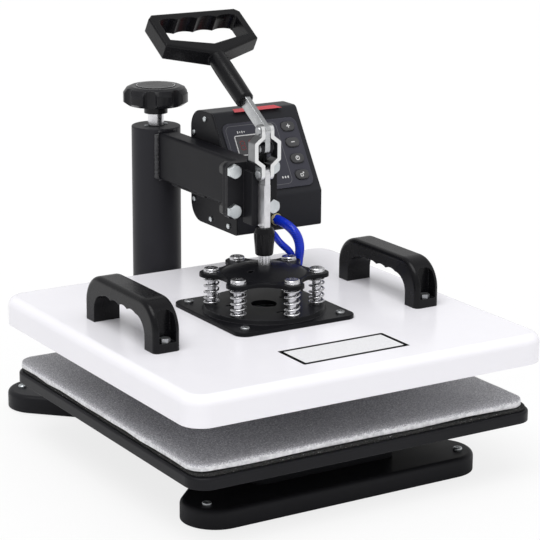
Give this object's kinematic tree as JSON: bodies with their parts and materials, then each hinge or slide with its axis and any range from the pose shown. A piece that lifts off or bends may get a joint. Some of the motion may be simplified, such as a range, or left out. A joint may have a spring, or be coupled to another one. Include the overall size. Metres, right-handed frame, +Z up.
{
  "type": "swing-away heat press",
  "caption": "Swing-away heat press: sprung heated platen on a swinging arm with toggle lever, padded lower plate and a control box.",
  "frame": {"origin": "centre of the footprint, on the floor plane under the rubber feet", "axes": "+Z up, -Y towards the operator, +X to the operator's right"},
  "size_m": [0.394, 0.489, 0.4299],
  "materials": {
    "black_paint": "satin, fine grain",
    "zinc": "zinc plated",
    "bright_steel": "polished plating",
    "steel": "machined",
    "cast_alloy": "cast and milled",
    "dark_plate": "coated",
    "white_cover": "glossy",
    "black_plastic": "fine grain",
    "rubber": "matt",
    "silicone": "sprinkled, soft",
    "foam": "open foam",
    "bronze": "sintered",
    "blanket": "glass wool",
    "window": "smoked",
    "board": "laminate",
    "panel": "printed film",
    "cable": "braided sleeve",
    "knob_disc": "glossy"
  },
  "bodies": {
    "base": {"front_foot": "black_paint", "rear_foot": "black_paint", "foot_screws": "zinc", "rubber_feet": "rubber", "base_spine": "black_paint", "base_bolts": "zinc", "lower_plate": "dark_plate", "foam_sheet": "foam", "silicone_pad": "silicone", "post_core": "black_paint", "thrust_washer": "bronze"},
    "arm": {"post_sleeve": "black_paint", "post_bushes": "bronze", "cap_screws": "zinc", "arm_beam": "black_paint", "toggle_bracket": "black_paint", "bracket_bolts": "zinc", "crank_pin": "bright_steel", "box_bracket": "black_paint", "box_shell": "black_paint", "box_side_panel": "black_paint", "panel_screws": "zinc", "control_panel": "panel", "display_window": "window", "circuit_board": "board", "power_relay": "black_plastic", "mains_inlet": "black_plastic", "fuse_holder": "black_plastic", "switch_frame": "black_plastic", "cable_glands": "black_plastic", "heater_cable": "cable", "sensor_cable": "cable"},
    "knob": {"lock_knob": "black_plastic", "knob_stud": "bright_steel", "knob_disc": "knob_disc"},
    "lever": {"lever_bar": "bright_steel", "lever_grip": "black_plastic"},
    "links": {"left_link_strap": "bright_steel", "right_link_strap": "bright_steel", "link_pins": "bright_steel"},
    "plunger": {"plunger_bar": "bright_steel"},
    "adjuster": {"pressure_sleeve": "black_plastic"},
    "hub": {"spring_hub": "black_paint", "hub_stud": "bright_steel"},
    "platen": {"mount_plate": "black_paint", "spring_bolts": "bright_steel", "pressure_springs": "bright_steel", "platen_cover": "white_cover", "heating_plate": "cast_alloy", "heating_element": "steel", "insulation_pad": "blanket", "left_handle": "black_plastic", "right_handle": "black_plastic", "cover_screws": "zinc", "cable_grommet": "rubber"},
    "rocker": {"power_switch": "black_plastic"},
    "plus_key": {"plus_button": "black_plastic"},
    "minus_key": {"minus_button": "black_plastic"},
    "timer_key": {"timer_button": "black_plastic"},
    "mode_key": {"mode_button": "black_plastic"}
  },
  "joints": [
    {"name": "arm_swing", "type": "hinge", "parent": "base", "child": "arm", "pos_m": [0, 0.1785, 0], "axis": [0, 0, 1], "range_deg": [-180, 180]},
    {"name": "knob_turn", "type": "hinge", "parent": "base", "child": "knob", "pos_m": [0, 0.1785, 0], "axis": [0, 0, 1], "range_deg": [-180, 180]},
    {"name": "lever_turn", "type": "hinge", "parent": "arm", "child": "lever", "pos_m": [0, -0.042, 0.3148], "axis": [1, 0, 0], "range_deg": [0, 180]},
    {"name": "link_turn", "type": "hinge", "parent": "lever", "child": "links", "pos_m": [0, -0.042, 0.3323], "axis": [1, 0, 0], "range_deg": [-180, 0]},
    {"name": "plunger_slide", "type": "slide", "parent": "arm", "child": "plunger", "axis": [0, 0, 1], "range_m": [-0.035, 0]},
    {"name": "adjuster_turn", "type": "hinge", "parent": "plunger", "child": "adjuster", "pos_m": [0, -0.042, 0], "axis": [0, 0, 1], "range_deg": [0, 720]},
    {"name": "hub_slide", "type": "slide", "parent": "plunger", "child": "hub", "axis": [0, 0, 1], "range_m": [0, 0.0035]},
    {"name": "platen_slide", "type": "slide", "parent": "hub", "child": "platen", "axis": [0, 0, 1], "range_m": [0, 0.006], "stiffness_N_per_m": 48000, "springref_m": -0.004, "deforming": ["pressure_springs"]},
    {"name": "power_rocker", "type": "hinge", "parent": "arm", "child": "rocker", "pos_m": [0.085, 0.1196, 0.275], "axis": [1, 0, 0], "range_deg": [0, 16]},
    {"name": "plus_press", "type": "slide", "parent": "arm", "child": "plus_key", "axis": [0, 0.8437, -0.5369], "range_m": [0, 0.001], "stiffness_N_per_m": 600, "springref_m": -0.0015},
    {"name": "minus_press", "type": "slide", "parent": "arm", "child": "minus_key", "axis": [0, 0.8437, -0.5369], "range_m": [0, 0.001], "stiffness_N_per_m": 600, "springref_m": -0.0015},
    {"name": "timer_press", "type": "slide", "parent": "arm", "child": "timer_key", "axis": [0, 0.8437, -0.5369], "range_m": [0, 0.001], "stiffness_N_per_m": 600, "springref_m": -0.0015},
    {"name": "mode_press", "type": "slide", "parent": "arm", "child": "mode_key", "axis": [0, 0.8437, -0.5369], "range_m": [0, 0.001], "stiffness_N_per_m": 600, "springref_m": -0.0015}
  ],
  "couplings": [
    {"joint": "link_turn", "follows": "lever_turn", "ratio": -1},
    {"joint": "plunger_slide", "follows": "lever_turn", "m_per_rad": -0.01114},
    {"joint": "adjuster_turn", "follows": "hub_slide", "rad_per_m": 3590.4}
  ]
}
